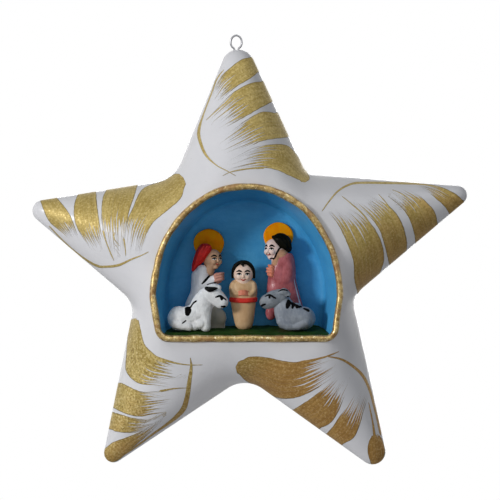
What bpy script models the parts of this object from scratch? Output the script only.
"""A hollow ceramic star ornament with a nativity scene in an arched niche.

The star hangs from a wire eye. Its front faces -Y and +Z is up. The origin is the top of the
inside of the eye, where a hook or a thread carries the star, and the seam between the two
halves of the star lies in the plane y = 0. Sizes are in millimetres, and each mesh is turned
into metres as it is made.
"""

import math

import bmesh
import bpy
import numpy as np

MM = 0.001  # metres in a millimetre
CLEARANCE = 0.3  # between two pieces that touch
CUT_MARGIN = 2.0  # how far a cutter runs past the clay it cuts
TINY = 1e-9  # slack for rounding errors

# Star: each corner of its outline before rounding, as x, z and the radius of the rounding
TOP_TIP = (0.23, 3.0, 4.2)
UPPER_RIGHT_NOTCH = (17.7, -34.7, 3.0)
RIGHT_TIP = (62.0, -38.3, 2.4)
LOWER_RIGHT_NOTCH = (29.5, -65.8, 5.4)
RIGHT_FOOT = (39.5, -112.7, 3.3)
BOTTOM_NOTCH = (2.3, -86.1, 7.7)
LEFT_FOOT = (-34.6, -110.7, 2.4)
LOWER_LEFT_NOTCH = (-25.8, -67.5, 6.0)
LEFT_TIP = (-55.1, -42.4, 2.7)
UPPER_LEFT_NOTCH = (-15.7, -36.1, 8.6)
STAR_CORNERS = (
    TOP_TIP,
    UPPER_RIGHT_NOTCH,
    RIGHT_TIP,
    LOWER_RIGHT_NOTCH,
    RIGHT_FOOT,
    BOTTOM_NOTCH,
    LEFT_FOOT,
    LOWER_LEFT_NOTCH,
    LEFT_TIP,
    UPPER_LEFT_NOTCH,
)
STAR_CENTRE = (2.1, -60.3)  # x and z of the point that the outline is seen from
FRONT_RISE = 13.5  # from the seam to the mouth of the niche
BACK_RISE = 10.5  # from the seam to the flat of the back
FLAT_START = 1.5  # the back turns flat where its pillow would be this many times its rise
FULLNESS = 0.85  # rise of an arm as a share of half its width
SHELL_WALL = 2.5  # clay wall of the two halves
HOLLOW_TIP_RADIUS = 3.0  # rounding of the hollow in the tip of an arm
VENT_DIAMETER = 3.0  # hole in the back that lets the air out in the kiln

# Niche: its inside at the mouth
NICHE_X = 2.6
NICHE_SPRING_Z = -65.7  # where the round arch starts
NICHE_HALF_WIDTH = 22.6
NICHE_ARCH_HEIGHT = 26.8
NICHE_FLOOR_DROP = 10.2  # floor below the spring line
NICHE_SIDE_LEAN = 1.4  # how far each side leans in at the floor
NICHE_CORNER_RADIUS = 2.0
NICHE_DEPTH = 12.5
NICHE_DRAFT = 1.8  # how far the wall comes in from the mouth to the start of the hollow corner
NICHE_BACK_RADIUS = 3.5  # hollow corner between the wall and the back of the niche
CUP_WALL = 1.0
RIM_WIDTH = 1.7
RIM_HEIGHT = 1.1
RIM_FLOOR_LIFT = 0.45  # how far the rim stands above the floor of the niche at the mouth

# Ground: a strip of clay on the floor of the niche
GROUND_FRONT_THICKNESS = 0.5
GROUND_BACK_THICKNESS = 2.4
GROUND_SETBACK = 0.8  # from the mouth of the niche

# Wire eye
WIRE_DIAMETER = 0.5
EYE_WIDTH = 2.8  # across the middle of the wire
EYE_HEIGHT = 3.3
EYE_NECK_ANGLE = math.radians(38.0)  # where the oval turns down into the legs
LEG_SPACING = 0.8
LEG_DEPTH = 4.0  # of the legs in the clay

# Figures: places across the niche are from its middle or its side walls, and heights are from
# the ground
BACK_ROW_GAP = 2.85  # from the back of the niche to the middle of the kneeling figures
INFANT_GAP = 4.65
ANIMAL_GAP = 8.05
NOSE_LENGTH = 0.45
NOSE_HALF_HEIGHT = 0.35  # as a share of the head
NOSE_EDGE = 0.55  # the nose starts where the face has turned this far to the front
HALO_THICKNESS = 0.5
EAR_RADII = (1.5, 0.8, 0.8)

WOMAN_OFFSET = -9.6
WOMAN_NECK_HEIGHT = 15.6
WOMAN_HALF_WIDTH = 4.3
WOMAN_HALF_DEPTH = 2.3
WOMAN_HEAD_RADII = (2.3, 1.7, 2.5)
WOMAN_HEAD_SHIFT = 1.1  # of the head before the middle of the robe
WOMAN_HEAD_LIFT = 1.65  # middle of the head above the neck
WOMAN_VEIL_LENGTH = 7.4
WOMAN_VEIL_TOP = 4.1  # above the middle of the head
WOMAN_VEIL_HALF_WIDTH = 2.3
WOMAN_VEIL_HALF_DEPTH = 1.9
WOMAN_VEIL_FORWARD = 0.2
WOMAN_HAND_RADII = (1.3, 1.1, 1.4)
WOMAN_HAND_PLACE = (3.1, -0.8, -3.35)  # from the middle of the neck
WOMAN_HALO_RADIUS = 3.85
WOMAN_HALO_PLACE = (-1.05, 3.8)  # x and z from the middle of the head

MAN_OFFSET = 9.6
MAN_NECK_HEIGHT = 18.6
MAN_HALF_WIDTH = 4.6
MAN_HALF_DEPTH = 2.3
MAN_HEAD_RADII = (2.5, 1.7, 2.75)
MAN_HEAD_SHIFT = -2.3
MAN_HEAD_LIFT = 0.95
MAN_HAIR_RADII = (2.8, 1.8, 2.7)
MAN_HAIR_PLACE = (1.6, -0.1, 1.4)  # from the middle of the head
MAN_HAND_RADII = (1.2, 1.1, 1.9)
MAN_HAND_PLACE = (-4.3, -0.8, -4.05)
MAN_HALO_RADIUS = 3.75
MAN_HALO_PLACE = (0.75, 3.3)

INFANT_OFFSET = -0.8
INFANT_NECK_HEIGHT = 12.2
INFANT_HALF_WIDTH = 3.6
INFANT_HALF_DEPTH = 2.3
INFANT_HEAD_RADII = (2.75, 2.3, 2.75)
INFANT_HEAD_LIFT = 1.85
INFANT_HAIR_RADII = (3.1, 2.2, 2.8)
INFANT_HAIR_PLACE = (0.0, 0.6, 0.6)
INFANT_HAND_RADII = (1.4, 0.9, 0.8)
INFANT_HAND_LIFT = 0.45  # of the hands above the sash
SASH_HEIGHT = 7.2  # of the middle of the sash
SASH_WIDTH = 1.5
SASH_THICKNESS = 0.5

OX_SIDE_GAP = 8.0  # from the side wall of the niche to the middle of the body
OX_LENGTH = 10.9
OX_HEIGHT = 10.3  # of the top of the neck
OX_HALF_DEPTH = 2.3
OX_HEAD_RADII = (3.5, 2.1, 2.5)
OX_HEAD_PLACE = (7.2, -0.6, 8.8)  # from the ground under the middle of the body
OX_HEAD_TILT = math.radians(45.0)
OX_EAR_PLACE = (-2.1, -1.2, 2.3)  # from the middle of the head

DONKEY_SIDE_GAP = 10.2
DONKEY_LENGTH = 10.5
DONKEY_HEIGHT = 8.3
DONKEY_HALF_DEPTH = 2.4
DONKEY_HEAD_RADII = (3.7, 2.0, 2.4)
DONKEY_HEAD_PLACE = (-5.7, -0.5, 8.3)
DONKEY_HEAD_TILT = math.radians(-14.0)
DONKEY_EAR_PLACE = (2.8, -1.3, 1.5)

# How finely the round pieces are cut
ARC_STEPS = 4
RUN_STEPS = 4
LONGEST_RUN = 8.0  # a flank longer than this is cut into steps
SHELL_RINGS = 6
RING_CROWDING = 1.6  # over 1 draws the rings together towards the seam
LEAST_TURN = math.radians(0.4)  # between two directions of the star's net
ARCH_STEPS = 24
DRAFT_STEPS = 3
FLOOR_STEPS = 5
RIM_SIDES = 8
SECTION_SIDES = 14
GROOVE_SQUARENESS = 0.6  # under 1 makes the groove's round ends fuller
BALL_SEGMENTS = 14
BALL_RINGS = 8
SHARP_EDGE = math.radians(40.0)

GLAZE_WHITE = (224, 224, 228)
CUTTER_RED = (200, 60, 60)


def linear(value):
    """One colour channel of 0 to 255, as the shader wants it."""
    share = value / 255.0
    if share <= 0.04045:
        return share / 12.92
    return ((share + 0.055) / 1.055) ** 2.4


def paint(name, colour, roughness=0.4, metallic=0.0):
    """A painted clay surface."""
    material = bpy.data.materials.new(name)
    material.use_nodes = True
    shader = material.node_tree.nodes["Principled BSDF"]
    shader.inputs["Base Color"].default_value = (*[linear(value) for value in colour], 1.0)
    shader.inputs["Roughness"].default_value = roughness
    shader.inputs["Metallic"].default_value = metallic
    return material


def solid(name, points, faces, material):
    """An object made of points in millimetres, with its faces turned outwards."""
    mesh = bpy.data.meshes.new(name)
    mesh.from_pydata([tuple(value * MM for value in point) for point in points], [], faces)
    shape = bmesh.new()
    shape.from_mesh(mesh)
    bmesh.ops.recalc_face_normals(shape, faces=shape.faces)
    shape.to_mesh(mesh)
    shape.free()
    mesh.shade_smooth()
    mesh.set_sharp_from_angle(angle=SHARP_EDGE)
    mesh.materials.append(material)
    piece = bpy.data.objects.new(name, mesh)
    bpy.context.scene.collection.objects.link(piece)
    return piece


def cut(piece, cutter, operation="DIFFERENCE"):
    """Cut a piece with a hidden cutter."""
    cutter.hide_render = True
    cutter.display_type = "WIRE"
    modifier = piece.modifiers.new(cutter.name, "BOOLEAN")
    modifier.operation = operation
    modifier.solver = "EXACT"
    modifier.object = cutter


def seat(piece, neighbour):
    """Hollow a piece where its neighbour sits in it, with the clearance all round."""
    cutter = neighbour.copy()
    cutter.data = neighbour.data.copy()
    cutter.name = f"{piece.name}_seat_for_{neighbour.name}"
    cutter.modifiers.clear()
    bpy.context.scene.collection.objects.link(cutter)
    normals = [vertex.normal.copy() for vertex in cutter.data.vertices]
    for vertex, normal in zip(cutter.data.vertices, normals):
        vertex.co += normal * (CLEARANCE * MM)
    cut(piece, cutter)


def rounded_outline(corners):
    """Points of a closed outline, each corner an arc of its radius, or one point without a radius."""
    points = []
    for index, (x, z, radius) in enumerate(corners):
        corner = np.array((x, z))
        if radius <= 0.0:
            points.append(corner)
            continue
        before = np.array(corners[index - 1][:2]) - corner
        after = np.array(corners[(index + 1) % len(corners)][:2]) - corner
        before /= np.linalg.norm(before)
        after /= np.linalg.norm(after)
        half_angle = math.acos(float(np.clip(before @ after, -1.0, 1.0))) / 2.0
        middle = (before + after) / np.linalg.norm(before + after)
        centre = corner + middle * radius / math.sin(half_angle)
        start = corner + before * radius / math.tan(half_angle) - centre
        end = corner + after * radius / math.tan(half_angle) - centre
        first = math.atan2(start[1], start[0])
        turn = math.atan2(end[1], end[0]) - first
        turn = (turn + math.pi) % (2.0 * math.pi) - math.pi
        for step in range(ARC_STEPS + 1):
            angle = first + turn * step / ARC_STEPS
            points.append(centre + radius * np.array((math.cos(angle), math.sin(angle))))
    return points


def split_runs(points):
    """The outline with each long run cut into equal steps."""
    split = []
    for index, point in enumerate(points):
        following = points[(index + 1) % len(points)]
        count = RUN_STEPS if np.linalg.norm(following - point) > LONGEST_RUN else 1
        for step in range(count):
            split.append(point + (following - point) * step / count)
    return split


def inset_corners(corners, distance):
    """The corners of the star with every flank moved in by a distance."""
    inset = []
    for index, (x, z, radius) in enumerate(corners):
        corner = np.array((x, z))
        before = corner - np.array(corners[index - 1][:2])
        after = np.array(corners[(index + 1) % len(corners)][:2]) - corner
        before /= np.linalg.norm(before)
        after /= np.linalg.norm(after)
        inward_before = np.array((before[1], -before[0]))
        inward_after = np.array((after[1], -after[0]))
        bisector = (inward_before + inward_after) / (1.0 + inward_before @ inward_after)
        is_tip = before[0] * after[1] - before[1] * after[0] < 0.0
        new_radius = HOLLOW_TIP_RADIUS if is_tip else radius + distance
        inset.append((*(corner + bisector * distance), new_radius))
    return inset


def reach(outline, angle):
    """Distance from the star's centre to an outline, in one direction."""
    direction = np.array((math.cos(angle), math.sin(angle)))
    furthest = 0.0
    for index, point in enumerate(outline):
        start = point - np.array(STAR_CENTRE)
        run = outline[(index + 1) % len(outline)] - point
        cross = direction[0] * run[1] - direction[1] * run[0]
        if abs(cross) < TINY:
            continue
        distance = (start[0] * run[1] - start[1] * run[0]) / cross
        share = (start[0] * direction[1] - start[1] * direction[0]) / cross
        if distance > 0.0 and -TINY <= share <= 1.0 + TINY:
            furthest = max(furthest, distance)
    return furthest


def arch_outline(grow, floor_grow):
    """Outline of the niche at its mouth, its arch and sides grown outwards and its floor grown down."""
    half_width = NICHE_HALF_WIDTH + grow
    height = NICHE_ARCH_HEIGHT + grow
    floor_z = NICHE_SPRING_Z - NICHE_FLOOR_DROP - floor_grow
    corners = []
    for step in range(ARCH_STEPS + 1):
        angle = math.pi * step / ARCH_STEPS
        x = NICHE_X + half_width * math.cos(angle)
        corners.append((x, NICHE_SPRING_Z + height * math.sin(angle), 0.0))
    foot = half_width - NICHE_SIDE_LEAN
    radius = NICHE_CORNER_RADIUS + max(grow, 0.0)
    left_foot = (NICHE_X - foot, floor_z, radius)
    right_foot = (NICHE_X + foot, floor_z, radius)
    outline = rounded_outline([*corners, left_foot, right_foot])
    left_end = len(corners) + ARC_STEPS
    start, end = outline[left_end], outline[left_end + 1]
    floor = [start + (end - start) * step / FLOOR_STEPS for step in range(1, FLOOR_STEPS)]
    return outline[: left_end + 1] + floor + outline[left_end + 1 :]


def film(points, triangles, held):
    """Height of a soap film under even pressure, with the held points kept at their heights."""
    size = len(points)
    stiffness = np.zeros((size, size))
    load = np.zeros(size)
    for triangle in triangles:
        a, b, c = (points[corner] for corner in triangle)
        area = abs((b[0] - a[0]) * (c[1] - a[1]) - (b[1] - a[1]) * (c[0] - a[0])) / 2.0
        edges = (c - b, a - c, b - a)
        for row in range(3):
            load[triangle[row]] += 2.0 * FULLNESS**2 * area / 3.0
            for column in range(3):
                stiffness[triangle[row], triangle[column]] += edges[row] @ edges[column] / (4.0 * area)
    for point, height in held.items():
        stiffness[point] = 0.0
        stiffness[point, point] = 1.0
        load[point] = height
    return np.linalg.solve(stiffness, load)


def star_rings(outline, opening, angles, mouth_rise, flat_rise):
    """Rings of points of one clay surface, from its opening to the seam: x, z and rise."""
    centre = np.array(STAR_CENTRE)
    flat_points = []
    for ring in range(SHELL_RINGS + 1):
        share = 1.0 - (1.0 - ring / SHELL_RINGS) ** RING_CROWDING
        for angle in angles:
            near = reach(opening, angle)
            distance = near + share * (reach(outline, angle) - near)
            flat_points.append(centre + distance * np.array((math.cos(angle), math.sin(angle))))
    count = len(angles)
    triangles = []
    for ring in range(SHELL_RINGS):
        for index in range(count):
            a = ring * count + index
            b = ring * count + (index + 1) % count
            triangles.append((a, b, a + count))
            triangles.append((b, b + count, a + count))
    held = {SHELL_RINGS * count + index: 0.0 for index in range(count)}
    if mouth_rise is not None:
        held.update({index: mouth_rise**2 for index in range(count)})
    rises = np.sqrt(np.maximum(film(flat_points, triangles, held), 0.0))
    if flat_rise is not None:
        share = np.minimum(rises / (FLAT_START * flat_rise), 1.0)
        rises = flat_rise * (1.0 - (1.0 - share) ** FLAT_START)
    return [(point[0], point[1], rise) for point, rise in zip(flat_points, rises)]


def ring_faces(first, second, count):
    """Faces between two rings of points that start at two given numbers."""
    faces = []
    for index in range(count):
        following = (index + 1) % count
        faces.append((first + index, first + following, second + following, second + index))
    return faces


def star_half(name, side, opening, rises, material):
    """Half of the star as a clay shell with an opening, on one side of the seam."""
    mouth_rise, flat_rise = rises
    outline = star_outline()
    hollow = rounded_outline(inset_corners(STAR_CORNERS, SHELL_WALL))
    centre = np.array(STAR_CENTRE)
    floor_z = NICHE_SPRING_Z - NICHE_FLOOR_DROP
    corner_points = [point for point in opening if point[1] < floor_z + NICHE_CORNER_RADIUS]
    angles = []
    for point in [*outline, *corner_points]:
        offset = point - centre
        angle = math.atan2(offset[1], offset[0])
        if all(abs(angle - other) > LEAST_TURN for other in angles):
            angles.append(angle)
    angles.sort()
    inner_mouth = None if mouth_rise is None else mouth_rise - SHELL_WALL
    inner_flat = None if flat_rise is None else flat_rise - SHELL_WALL
    outside = star_rings(outline, opening, angles, mouth_rise, flat_rise)
    inside = star_rings(hollow, opening, angles, inner_mouth, inner_flat)
    count = len(angles)
    points = [(x, side * (CLEARANCE / 2.0 + rise), z) for x, z, rise in outside + inside]
    faces = []
    for ring in range(SHELL_RINGS):
        faces += ring_faces(ring * count, (ring + 1) * count, count)
    inner = len(outside)
    for ring in range(SHELL_RINGS):
        faces += ring_faces(inner + (ring + 1) * count, inner + ring * count, count)
    faces += ring_faces(SHELL_RINGS * count, inner + SHELL_RINGS * count, count)
    faces += ring_faces(inner, 0, count)
    return solid(name, points, faces, material)


def star_outline():
    """Rounded outline of the star, with its flanks cut into runs."""
    return split_runs(rounded_outline(STAR_CORNERS))


def clay_top():
    """Height of the top of the clay."""
    return max(point[1] for point in star_outline())


def mouth_y():
    """Depth of the mouth of the niche."""
    return -(CLEARANCE / 2.0 + FRONT_RISE)


def cup_profile():
    """Inside of the niche from its mouth to its back: how far it comes in, and how deep."""
    straight = NICHE_DEPTH - NICHE_BACK_RADIUS
    profile = []
    for step in range(DRAFT_STEPS + 1):
        profile.append((NICHE_DRAFT * step / DRAFT_STEPS, straight * step / DRAFT_STEPS))
    for step in range(1, ARC_STEPS + 1):
        angle = math.pi / 2.0 * step / ARC_STEPS
        inset = NICHE_DRAFT + NICHE_BACK_RADIUS * (1.0 - math.cos(angle))
        profile.append((inset, straight + NICHE_BACK_RADIUS * math.sin(angle)))
    return profile


def cup_rings(grow):
    """Rings of points of the niche's inside, or of that surface grown outwards and backwards."""
    rings = []
    for inset, depth in cup_profile():
        y = mouth_y() + depth + grow * depth / NICHE_DEPTH
        rings.append([(x, y, z) for x, z in arch_outline(grow - inset, grow)])
    return rings


def lidded(name, rings, material):
    """A closed solid through rings of points, with a flat lid at each end."""
    count = len(rings[0])
    points = [point for ring in rings for point in ring]
    faces = [tuple(range(count)), tuple(range(len(points) - count, len(points)))]
    for ring in range(len(rings) - 1):
        faces += ring_faces(ring * count, (ring + 1) * count, count)
    return solid(name, points, faces, material)


def ground_z(y):
    """Top of the ground at a depth."""
    front = mouth_y() + GROUND_SETBACK
    back = mouth_y() + NICHE_DEPTH
    share = (y - front) / (back - front)
    thickness = GROUND_FRONT_THICKNESS + (GROUND_BACK_THICKNESS - GROUND_FRONT_THICKNESS) * share
    return NICHE_SPRING_Z - NICHE_FLOOR_DROP + CLEARANCE + thickness


def rested(points):
    """The points with none of them lower than the ground and its clearance."""
    return [(x, y, max(z, ground_z(y) + CLEARANCE)) for x, y, z in points]


def upright_lump(name, place, sections, material):
    """A lump of clay through level oval sections: height, x shift, half width and half depth."""
    rings = []
    for height, shift, half_width, half_depth in sections:
        ring = []
        for side in range(SECTION_SIDES):
            angle = 2.0 * math.pi * side / SECTION_SIDES
            x = place[0] + shift + half_width * math.cos(angle)
            ring.append((x, place[1] + half_depth * math.sin(angle), height))
        rings.append(rested(ring))
    return lidded(name, rings, material)


def lying_lump(name, place, sections, material):
    """A lump of clay through upright oval sections: x shift, middle height, half depth, half height."""
    rings = []
    for shift, middle, half_depth, half_height in sections:
        ring = []
        for side in range(SECTION_SIDES):
            angle = 2.0 * math.pi * side / SECTION_SIDES
            y = place[1] + half_depth * math.sin(angle)
            ring.append((place[0] + shift, y, middle + half_height * math.cos(angle)))
        rings.append(rested(ring))
    return lidded(name, rings, material)


def ball(name, centre, radii, material, tilt=0.0, facing=None):
    """An oval lump, tilted in the picture plane, with a nose where it has a face."""
    shape = bmesh.new()
    bmesh.ops.create_uvsphere(shape, u_segments=BALL_SEGMENTS, v_segments=BALL_RINGS, radius=1.0)
    points = []
    for vertex in shape.verts:
        x, y, z = vertex.co
        nose = 0.0
        if facing is not None:
            towards = x * facing[0] + y * facing[1]
            share = max(0.0, towards - NOSE_EDGE) / (1.0 - NOSE_EDGE)
            nose = NOSE_LENGTH * share * math.exp(-((z / NOSE_HALF_HEIGHT) ** 2))
        grown = [value * radius for value, radius in zip((x, y, z), radii)]
        if facing is not None:
            grown[0] += nose * facing[0]
            grown[1] += nose * facing[1]
        turned_x = grown[0] * math.cos(tilt) + grown[2] * math.sin(tilt)
        turned_z = grown[2] * math.cos(tilt) - grown[0] * math.sin(tilt)
        points.append((centre[0] + turned_x, centre[1] + grown[1], centre[2] + turned_z))
    faces = [[vertex.index for vertex in face.verts] for face in shape.faces]
    shape.free()
    return solid(name, points, faces, material)


def back_row_y():
    """Depth of the kneeling figures."""
    return mouth_y() + NICHE_DEPTH - BACK_ROW_GAP


def animals_y():
    """Depth of the two animals."""
    return mouth_y() + NICHE_DEPTH - ANIMAL_GAP


def robe_sections(foot, size, shape):
    """Sections of a robe, from shares of its height, half width and half depth."""
    height, half_width, half_depth = size
    sections = []
    for rise, shift, width, depth in shape:
        section = (foot + rise * height, shift * half_width, width * half_width, depth * half_depth)
        sections.append(section)
    return sections


def animal_sections(foot, size, shape):
    """Sections of a lying animal, from shares of its length, height and half depth."""
    length, height, half_depth = size
    sections = []
    for along, middle, depth, half_height in shape:
        section = (along * length, foot + middle * height, depth * half_depth, half_height * height)
        sections.append(section)
    return sections


def moved(place, shift):
    """A place moved by a shift."""
    return tuple(value + step for value, step in zip(place, shift))


def make_star():
    """The two halves of the star, luted together at the seam."""
    mouth = arch_outline(CUP_WALL + CLEARANCE, CUP_WALL + CLEARANCE)
    vent = []
    for step in range(SECTION_SIDES):
        angle = 2.0 * math.pi * step / SECTION_SIDES
        offset = np.array((math.cos(angle), math.sin(angle))) * VENT_DIAMETER / 2.0
        vent.append(np.array(STAR_CENTRE) + offset)
    front = star_half("star_front_shell", -1.0, mouth, (FRONT_RISE, None), paint("front_glaze", GLAZE_WHITE))
    back = star_half("star_back_shell", 1.0, vent, (None, BACK_RISE), paint("back_glaze", GLAZE_WHITE))
    return front, back


def make_eye(front, back):
    """The wire eye, with its legs bedded in the seam at the top tip."""
    middle_z = clay_top() + (EYE_HEIGHT + WIRE_DIAMETER) / 2.0
    half_width = EYE_WIDTH / 2.0
    half_height = EYE_HEIGHT / 2.0
    neck_x = half_width * math.sin(EYE_NECK_ANGLE)
    neck_z = middle_z - half_height * math.cos(EYE_NECK_ANGLE)
    leg_x = LEG_SPACING / 2.0
    slope = half_height * math.sin(EYE_NECK_ANGLE) / (half_width * math.cos(EYE_NECK_ANGLE))
    bend_z = neck_z - (neck_x - leg_x) * slope
    shoulder_z = bend_z - LEG_SPACING / 2.0
    right_side = [(leg_x, clay_top() - LEG_DEPTH)]
    for step in range(ARC_STEPS + 1):
        share = step / ARC_STEPS
        x = (1.0 - share) ** 2 * leg_x + 2.0 * share * (1.0 - share) * leg_x + share**2 * neck_x
        z = (1.0 - share) ** 2 * shoulder_z + 2.0 * share * (1.0 - share) * bend_z + share**2 * neck_z
        right_side.append((x, z))
    oval = []
    for step in range(1, ARCH_STEPS):
        angle = EYE_NECK_ANGLE + (2.0 * math.pi - 2.0 * EYE_NECK_ANGLE) * step / ARCH_STEPS
        oval.append((half_width * math.sin(angle), middle_z - half_height * math.cos(angle)))
    route = right_side + oval + [(-x, z) for x, z in reversed(right_side)]
    curve = bpy.data.curves.new("hanging_eye", "CURVE")
    curve.dimensions = "3D"
    curve.bevel_depth = WIRE_DIAMETER / 2.0 * MM
    curve.bevel_resolution = 2
    curve.use_fill_caps = True
    spline = curve.splines.new("POLY")
    spline.points.add(len(route) - 1)
    for point, (x, z) in zip(spline.points, route):
        point.co = (x * MM, 0.0, z * MM, 1.0)
    curve.materials.append(paint("steel_wire", (176, 176, 178), 0.3, 1.0))
    bpy.context.scene.collection.objects.link(bpy.data.objects.new("hanging_eye", curve))
    groove_half_width = (LEG_SPACING + WIRE_DIAMETER) / 2.0 + CLEARANCE
    groove_half_depth = WIRE_DIAMETER / 2.0 + CLEARANCE
    rings = []
    for z in (clay_top() - LEG_DEPTH - CLEARANCE, clay_top() + CUT_MARGIN):
        ring = []
        for side in range(SECTION_SIDES):
            angle = 2.0 * math.pi * side / SECTION_SIDES
            x = math.copysign(abs(math.cos(angle)) ** GROOVE_SQUARENESS, math.cos(angle)) * groove_half_width
            ring.append((x, math.sin(angle) * groove_half_depth, z))
        rings.append(ring)
    groove = lidded("eye_groove_cutter", rings, paint("cutter", CUTTER_RED))
    cut(front, groove)
    cut(back, groove)


def make_cup():
    """The thin cup in the mouth of the front that lines the niche."""
    inner = cup_rings(0.0)
    outer = cup_rings(CUP_WALL)
    count = len(inner[0])
    points = [point for ring in inner + outer for point in ring]
    faces = []
    for ring in range(len(inner) - 1):
        faces += ring_faces(ring * count, (ring + 1) * count, count)
        second = (len(inner) + ring) * count
        faces += ring_faces(second + count, second, count)
    faces += ring_faces(len(inner) * count, 0, count)
    faces.append(tuple(range((len(inner) - 1) * count, len(inner) * count)))
    faces.append(tuple(range(len(points) - count, len(points))))
    return solid("niche_cup", points, faces, paint("niche_blue", (52, 116, 168), 0.45))


def make_rim():
    """A rolled coil of clay over the joint between the niche and the front of the star."""
    base_y = mouth_y() - CLEARANCE
    bank = []
    for side in range(RIM_SIDES):
        angle = math.pi * side / (RIM_SIDES - 1)
        across = math.cos(angle) * RIM_WIDTH / 2.0
        bank.append((across, base_y - math.sin(angle) * RIM_HEIGHT))
    rings = []
    for across, y in bank:
        grow = across + RIM_WIDTH / 2.0
        rings.append([(x, y, z) for x, z in arch_outline(grow, grow - RIM_FLOOR_LIFT)])
    count = len(rings[0])
    points = [point for ring in rings for point in ring]
    faces = []
    for ring in range(RIM_SIDES):
        faces += ring_faces(ring * count, (ring + 1) % RIM_SIDES * count, count)
    solid("niche_rim", points, faces, paint("rim_gold", (146, 122, 72), 0.35, 0.6))


def make_ground():
    """A wedge of clay on the floor of the niche, shaped by the niche's own walls."""
    plug = lidded("ground_strip_limits", cup_rings(-CLEARANCE), paint("cutter", CUTTER_RED))
    front = mouth_y() + GROUND_SETBACK
    back = mouth_y() + NICHE_DEPTH - CLEARANCE
    floor_z = NICHE_SPRING_Z - NICHE_FLOOR_DROP - CUT_MARGIN
    half_width = NICHE_HALF_WIDTH + CUT_MARGIN
    rings = []
    for x in (NICHE_X - half_width, NICHE_X + half_width):
        top = [(x, front, ground_z(front)), (x, back, ground_z(back))]
        rings.append([(x, front, floor_z), *top, (x, back, floor_z)])
    wedge = lidded("niche_ground", rings, paint("ground_green", (46, 74, 38), 0.6))
    cut(wedge, plug, "INTERSECT")


def make_halo(name, head, head_depth, shift, radius, cup):
    """A round halo standing behind a head, clear of the niche."""
    front_y = head[1] + head_depth + CLEARANCE
    rings = []
    for y in (front_y, front_y + HALO_THICKNESS):
        ring = []
        for side in range(2 * SECTION_SIDES):
            angle = math.pi * side / SECTION_SIDES
            x = head[0] + shift[0] + radius * math.cos(angle)
            ring.append((x, y, head[2] + shift[1] + radius * math.sin(angle)))
        rings.append(ring)
    halo = lidded(name, rings, paint(f"{name}_orange", (206, 132, 14)))
    seat(halo, cup)


def make_woman(cup):
    """The kneeling woman: robe, head, veil, joined hands and halo."""
    x = NICHE_X + WOMAN_OFFSET
    y = back_row_y()
    foot = ground_z(y)
    neck = (x, y, foot + WOMAN_NECK_HEIGHT)
    shape = (
        (0.00, -0.02, 0.98, 0.96),
        (0.10, 0.00, 1.00, 1.00),
        (0.30, -0.09, 0.91, 1.00),
        (0.50, -0.19, 0.81, 1.00),
        (0.68, -0.23, 0.79, 0.96),
        (0.82, -0.23, 0.72, 0.87),
        (0.92, -0.12, 0.56, 0.70),
        (1.00, 0.05, 0.35, 0.52),
    )
    sections = robe_sections(foot, (WOMAN_NECK_HEIGHT, WOMAN_HALF_WIDTH, WOMAN_HALF_DEPTH), shape)
    robe = upright_lump("woman_robe", (x, y), sections, paint("woman_robe_white", (196, 198, 204)))
    head_place = moved(neck, (WOMAN_HEAD_SHIFT, 0.0, WOMAN_HEAD_LIFT))
    skin = paint("woman_skin", (196, 158, 134))
    head = ball("woman_head", head_place, WOMAN_HEAD_RADII, skin, 0.0, (0.87, -0.5))
    seat(robe, head)
    veil_shape = (
        (0.00, -1.65, 0.30, 0.53),
        (0.12, -1.48, 0.48, 0.74),
        (0.32, -1.00, 0.74, 0.95),
        (0.55, -0.57, 0.96, 1.00),
        (0.77, -0.26, 1.00, 0.95),
        (0.93, -0.22, 0.70, 0.68),
        (1.00, -0.22, 0.30, 0.32),
    )
    veil_size = (WOMAN_VEIL_LENGTH, WOMAN_VEIL_HALF_WIDTH, WOMAN_VEIL_HALF_DEPTH)
    veil_foot = head_place[2] + WOMAN_VEIL_TOP - WOMAN_VEIL_LENGTH
    veil_sections = robe_sections(veil_foot, veil_size, veil_shape)
    veil_place = (x, y - WOMAN_VEIL_FORWARD)
    veil = upright_lump("woman_veil", veil_place, veil_sections, paint("veil_red", (176, 40, 34)))
    seat(veil, head)
    seat(veil, robe)
    hand_skin = paint("woman_hand_skin", (190, 140, 124))
    hands = ball("woman_hands", moved(neck, WOMAN_HAND_PLACE), WOMAN_HAND_RADII, hand_skin)
    seat(hands, robe)
    make_halo("woman_halo", head_place, WOMAN_HEAD_RADII[1], WOMAN_HALO_PLACE, WOMAN_HALO_RADIUS, cup)


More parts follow.
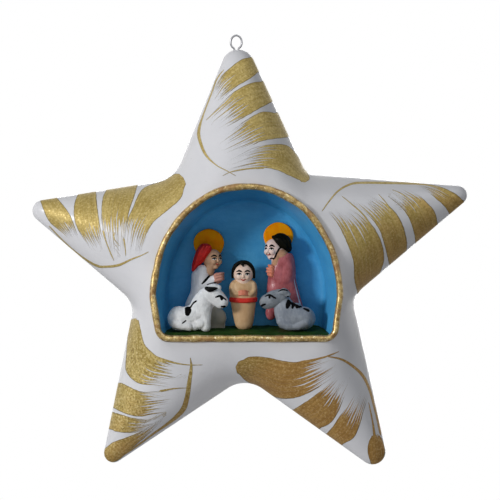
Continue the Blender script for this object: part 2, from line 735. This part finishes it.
def make_man(cup):
    """The kneeling man: robe, head, hair, joined hands and halo."""
    x = NICHE_X + MAN_OFFSET
    y = back_row_y()
    foot = ground_z(y)
    neck = (x, y, foot + MAN_NECK_HEIGHT)
    shape = (
        (0.00, -0.02, 1.00, 0.96),
        (0.10, 0.00, 1.00, 1.00),
        (0.30, 0.00, 0.89, 1.00),
        (0.52, -0.02, 0.83, 1.00),
        (0.70, -0.07, 0.78, 0.96),
        (0.84, 0.00, 0.70, 0.87),
        (0.94, 0.00, 0.50, 0.74),
        (1.00, -0.13, 0.35, 0.57),
    )
    sections = robe_sections(foot, (MAN_NECK_HEIGHT, MAN_HALF_WIDTH, MAN_HALF_DEPTH), shape)
    robe = upright_lump("man_robe", (x, y), sections, paint("man_robe_mauve", (172, 100, 106)))
    head_place = moved(neck, (MAN_HEAD_SHIFT, 0.0, MAN_HEAD_LIFT))
    skin = paint("man_skin", (214, 182, 172))
    head = ball("man_head", head_place, MAN_HEAD_RADII, skin, 0.0, (-0.87, -0.5))
    seat(robe, head)
    black = paint("man_hair_black", (28, 26, 22))
    hair = ball("man_hair", moved(head_place, MAN_HAIR_PLACE), MAN_HAIR_RADII, black)
    seat(hair, head)
    seat(hair, robe)
    hand_skin = paint("man_hand_skin", (206, 134, 122))
    hands = ball("man_hands", moved(neck, MAN_HAND_PLACE), MAN_HAND_RADII, hand_skin)
    seat(hands, robe)
    make_halo("man_halo", head_place, MAN_HEAD_RADII[1], MAN_HALO_PLACE, MAN_HALO_RADIUS, cup)


def make_infant():
    """The swaddled infant: body, head, hair, sash and folded hands."""
    x = NICHE_X + INFANT_OFFSET
    y = mouth_y() + NICHE_DEPTH - INFANT_GAP
    foot = ground_z(y)
    shape = (
        (0.00, 0.0, 0.47, 0.65),
        (0.06, 0.0, 0.64, 0.83),
        (0.30, 0.0, 0.75, 0.96),
        (0.55, 0.0, 0.86, 1.00),
        (0.80, 0.0, 1.00, 1.00),
        (0.92, 0.0, 0.92, 0.91),
        (1.00, 0.0, 0.64, 0.78),
    )
    sections = robe_sections(foot, (INFANT_NECK_HEIGHT, INFANT_HALF_WIDTH, INFANT_HALF_DEPTH), shape)
    body = upright_lump("infant_body", (x, y), sections, paint("infant_wrap_tan", (190, 158, 126)))
    head_place = (x, y, foot + INFANT_NECK_HEIGHT + INFANT_HEAD_LIFT)
    skin = paint("infant_skin", (206, 170, 148))
    head = ball("infant_head", head_place, INFANT_HEAD_RADII, skin, 0.0, (0.0, -1.0))
    seat(body, head)
    black = paint("infant_hair_black", (26, 24, 20))
    hair = ball("infant_hair", moved(head_place, INFANT_HAIR_PLACE), INFANT_HAIR_RADII, black)
    seat(hair, head)
    seat(hair, body)
    sash_top = foot + SASH_HEIGHT + SASH_WIDTH / 2.0
    hand_z = sash_top + INFANT_HAND_LIFT + INFANT_HAND_RADII[2]
    hand_place = (x, y - INFANT_HALF_DEPTH, hand_z)
    hands = ball("infant_hands", hand_place, INFANT_HAND_RADII, paint("infant_hand_skin", (200, 162, 140)))
    seat(hands, body)
    make_sash((x, y), sections, foot + SASH_HEIGHT)


def make_sash(place, sections, middle_z):
    """A band round the infant's wrapping, following its sections."""
    heights = [height for height, shift, width, depth in sections]
    widths = [width for height, shift, width, depth in sections]
    depths = [depth for height, shift, width, depth in sections]
    low = middle_z - SASH_WIDTH / 2.0
    high = middle_z + SASH_WIDTH / 2.0
    rings = []
    for height, thickness in ((low, 0.0), (low, SASH_THICKNESS), (high, SASH_THICKNESS), (high, 0.0)):
        half_width = np.interp(height, heights, widths) + CLEARANCE + thickness
        half_depth = np.interp(height, heights, depths) + CLEARANCE + thickness
        ring = []
        for side in range(SECTION_SIDES):
            angle = 2.0 * math.pi * side / SECTION_SIDES
            x = place[0] + half_width * math.cos(angle)
            ring.append((x, place[1] + half_depth * math.sin(angle), height))
        rings.append(ring)
    points = [point for ring in rings for point in ring]
    faces = []
    for ring in range(len(rings)):
        following = (ring + 1) % len(rings)
        faces += ring_faces(ring * SECTION_SIDES, following * SECTION_SIDES, SECTION_SIDES)
    solid("infant_sash", points, faces, paint("sash_red", (190, 46, 40)))


def make_ox():
    """The white ox lying on the left with its head raised."""
    x = NICHE_X - NICHE_HALF_WIDTH + OX_SIDE_GAP
    y = animals_y()
    foot = ground_z(y)
    shape = (
        (-0.48, 0.26, 0.48, 0.13),
        (-0.42, 0.29, 0.83, 0.23),
        (-0.28, 0.31, 1.00, 0.29),
        (-0.05, 0.32, 1.00, 0.33),
        (0.16, 0.38, 1.00, 0.43),
        (0.31, 0.48, 0.91, 0.52),
        (0.44, 0.48, 0.78, 0.49),
        (0.52, 0.40, 0.52, 0.31),
    )
    sections = animal_sections(foot, (OX_LENGTH, OX_HEIGHT, OX_HALF_DEPTH), shape)
    body = lying_lump("ox_body", (x, y), sections, paint("ox_white", (214, 216, 218)))
    head_place = moved((x, y, foot), OX_HEAD_PLACE)
    head = ball("ox_head", head_place, OX_HEAD_RADII, paint("ox_head_white", (210, 212, 214)), OX_HEAD_TILT)
    seat(head, body)
    ear = ball("ox_ear", moved(head_place, OX_EAR_PLACE), EAR_RADII, paint("ox_ear_black", (40, 42, 46)))
    seat(ear, head)
    seat(ear, body)


def make_donkey():
    """The grey donkey lying on the right with its head raised."""
    x = NICHE_X + NICHE_HALF_WIDTH - DONKEY_SIDE_GAP
    y = animals_y()
    foot = ground_z(y)
    shape = (
        (-0.52, 0.52, 0.50, 0.24),
        (-0.43, 0.57, 0.75, 0.43),
        (-0.27, 0.49, 0.92, 0.51),
        (-0.05, 0.40, 1.00, 0.42),
        (0.21, 0.36, 1.00, 0.39),
        (0.40, 0.35, 0.83, 0.31),
        (0.48, 0.33, 0.50, 0.18),
    )
    sections = animal_sections(foot, (DONKEY_LENGTH, DONKEY_HEIGHT, DONKEY_HALF_DEPTH), shape)
    body = lying_lump("donkey_body", (x, y), sections, paint("donkey_grey", (140, 146, 156)))
    head_place = moved((x, y, foot), DONKEY_HEAD_PLACE)
    grey = paint("donkey_head_grey", (124, 130, 140))
    head = ball("donkey_head", head_place, DONKEY_HEAD_RADII, grey, DONKEY_HEAD_TILT)
    seat(head, body)
    dark_grey = paint("donkey_ear_grey", (112, 118, 128))
    ear = ball("donkey_ear", moved(head_place, DONKEY_EAR_PLACE), EAR_RADII, dark_grey)
    seat(ear, head)
    seat(ear, body)


def main():
    """Clear the scene and make every piece."""
    for item in list(bpy.data.objects):
        bpy.data.objects.remove(item)
    front, back = make_star()
    make_eye(front, back)
    cup = make_cup()
    make_rim()
    make_ground()
    make_woman(cup)
    make_man(cup)
    make_infant()
    make_ox()
    make_donkey()


main()
